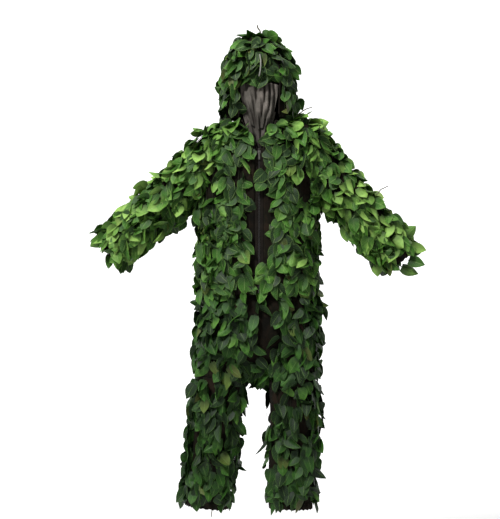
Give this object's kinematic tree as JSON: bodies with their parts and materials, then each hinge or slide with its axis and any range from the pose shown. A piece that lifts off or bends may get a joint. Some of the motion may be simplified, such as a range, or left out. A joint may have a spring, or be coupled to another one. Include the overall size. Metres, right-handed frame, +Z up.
{
  "type": "ghillie suit",
  "caption": "Leafy camouflage suit: hooded zip jacket and elastic-waisted trousers, both covered in sewn-on leaves, standing open as worn.",
  "frame": {"origin": "the middle of the neck seam, where the jacket rests on the wearer", "axes": "+Z up, the front of the suit faces -Y, +X is towards the wearer's left"},
  "size_m": [1.1851, 0.2781, 1.7612],
  "materials": {
    "base_cloth": "dark brown camouflage mesh cloth",
    "jacket_leaf": "woven polyester leaf, faint sheen",
    "trouser_leaf": "woven polyester leaf, faint sheen",
    "elastic": "knitted elastic",
    "grey_mesh": "gathered grey-brown mesh",
    "zip_tape": "woven tape",
    "zip_teeth": "moulded coil",
    "zip_metal": "dull gunmetal"
  },
  "bodies": {
    "jacket": {"jacket_back_panel": "base_cloth", "jacket_back_leaves": "jacket_leaf", "jacket_front_left": "base_cloth", "jacket_front_right": "base_cloth", "jacket_front_leaves_left": "jacket_leaf", "jacket_front_leaves_right": "jacket_leaf", "jacket_hem_casing": "base_cloth", "jacket_hem_elastic": "elastic", "neck_seam_tape": "base_cloth", "hanger_loop": "base_cloth", "neck_lining": "grey_mesh", "zip_tape_left": "zip_tape", "zip_tape_right": "zip_tape", "zip_teeth_left": "zip_teeth", "zip_teeth_right": "zip_teeth", "zip_top_stop_left": "zip_metal", "zip_top_stop_right": "zip_metal", "zip_bottom_box": "zip_metal", "zip_insert_pin": "zip_metal", "zip_underflap": "base_cloth"},
    "slider": {"zip_slider": "zip_metal"},
    "pull": {"zip_pull_tab": "zip_metal"},
    "hood": {"hood_centre_panel": "base_cloth", "hood_side_left": "base_cloth", "hood_side_right": "base_cloth", "hood_leaves": "jacket_leaf", "hood_brim_binding": "grey_mesh", "face_veil": "grey_mesh"},
    "trousers": {"trouser_seat_left": "base_cloth", "trouser_seat_right": "base_cloth", "trouser_seat_leaves_left": "trouser_leaf", "trouser_seat_leaves_right": "trouser_leaf", "waistband_casing": "base_cloth", "waist_elastic": "elastic", "fly_facing": "base_cloth", "crotch_gusset": "base_cloth"},
    "upper_sleeve_left": {"upper_sleeve_left": "base_cloth", "upper_sleeve_leaves_left": "jacket_leaf"},
    "lower_sleeve_left": {"lower_sleeve_left": "base_cloth", "lower_sleeve_leaves_left": "jacket_leaf", "cuff_casing_left": "base_cloth", "cuff_elastic_left": "elastic"},
    "thigh_left": {"thigh_left": "base_cloth", "thigh_leaves_left": "trouser_leaf"},
    "shin_left": {"shin_left": "base_cloth", "shin_leaves_left": "trouser_leaf", "ankle_casing_left": "base_cloth", "ankle_elastic_left": "elastic"},
    "upper_sleeve_right": {"upper_sleeve_right": "base_cloth", "upper_sleeve_leaves_right": "jacket_leaf"},
    "lower_sleeve_right": {"lower_sleeve_right": "base_cloth", "lower_sleeve_leaves_right": "jacket_leaf", "cuff_casing_right": "base_cloth", "cuff_elastic_right": "elastic"},
    "thigh_right": {"thigh_right": "base_cloth", "thigh_leaves_right": "trouser_leaf"},
    "shin_right": {"shin_right": "base_cloth", "shin_leaves_right": "trouser_leaf", "ankle_casing_right": "base_cloth", "ankle_elastic_right": "elastic"}
  },
  "joints": [
    {"name": "shoulder_left", "type": "hinge", "parent": "jacket", "child": "upper_sleeve_left", "pos_m": [0.165, 0, -0.115], "axis": [0, -1, 0], "range_deg": [-8, 40]},
    {"name": "elbow_left", "type": "hinge", "parent": "upper_sleeve_left", "child": "lower_sleeve_left", "pos_m": [0.3557, -0.033, -0.3268], "axis": [-0.7431, 0, -0.6691], "range_deg": [0, 90]},
    {"name": "hip_left", "type": "hinge", "parent": "trousers", "child": "thigh_left", "pos_m": [0.122, 0, -0.76], "axis": [-1, 0, 0], "range_deg": [-15, 45]},
    {"name": "knee_left", "type": "hinge", "parent": "thigh_left", "child": "shin_left", "pos_m": [0.122, 0.04, -1.06], "axis": [1, 0, 0], "range_deg": [0, 80]},
    {"name": "shoulder_right", "type": "hinge", "parent": "jacket", "child": "upper_sleeve_right", "pos_m": [-0.165, 0, -0.115], "axis": [0, 1, 0], "range_deg": [-8, 40]},
    {"name": "elbow_right", "type": "hinge", "parent": "upper_sleeve_right", "child": "lower_sleeve_right", "pos_m": [-0.37173, -0.033, -0.31118], "axis": [-0.6884, 0, 0.7254], "range_deg": [0, 90]},
    {"name": "hip_right", "type": "hinge", "parent": "trousers", "child": "thigh_right", "pos_m": [-0.122, 0, -0.76], "axis": [-0.9945, 0, 0.1045], "range_deg": [-15, 45]},
    {"name": "knee_right", "type": "hinge", "parent": "thigh_right", "child": "shin_right", "pos_m": [-0.15336, 0.04, -1.05836], "axis": [0.9945, 0, -0.1045], "range_deg": [0, 80]},
    {"name": "hood_fold", "type": "hinge", "parent": "jacket", "child": "hood", "pos_m": [0, 0.118, 0.004], "axis": [-1, 0, 0], "range_deg": [0, 75]},
    {"name": "zip_run", "type": "slide", "parent": "jacket", "child": "slider", "axis": [0, 0, -1], "range_m": [0, 0.49]},
    {"name": "pull_swing", "type": "hinge", "parent": "slider", "child": "pull", "pos_m": [0, -0.131, -0.134], "axis": [-1, 0, 0], "range_deg": [0, 150]},
    {"name": "trousers_drop", "type": "slide", "parent": "jacket", "child": "trousers", "axis": [0, 0, -1], "range_m": [0, 0.3]}
  ]
}
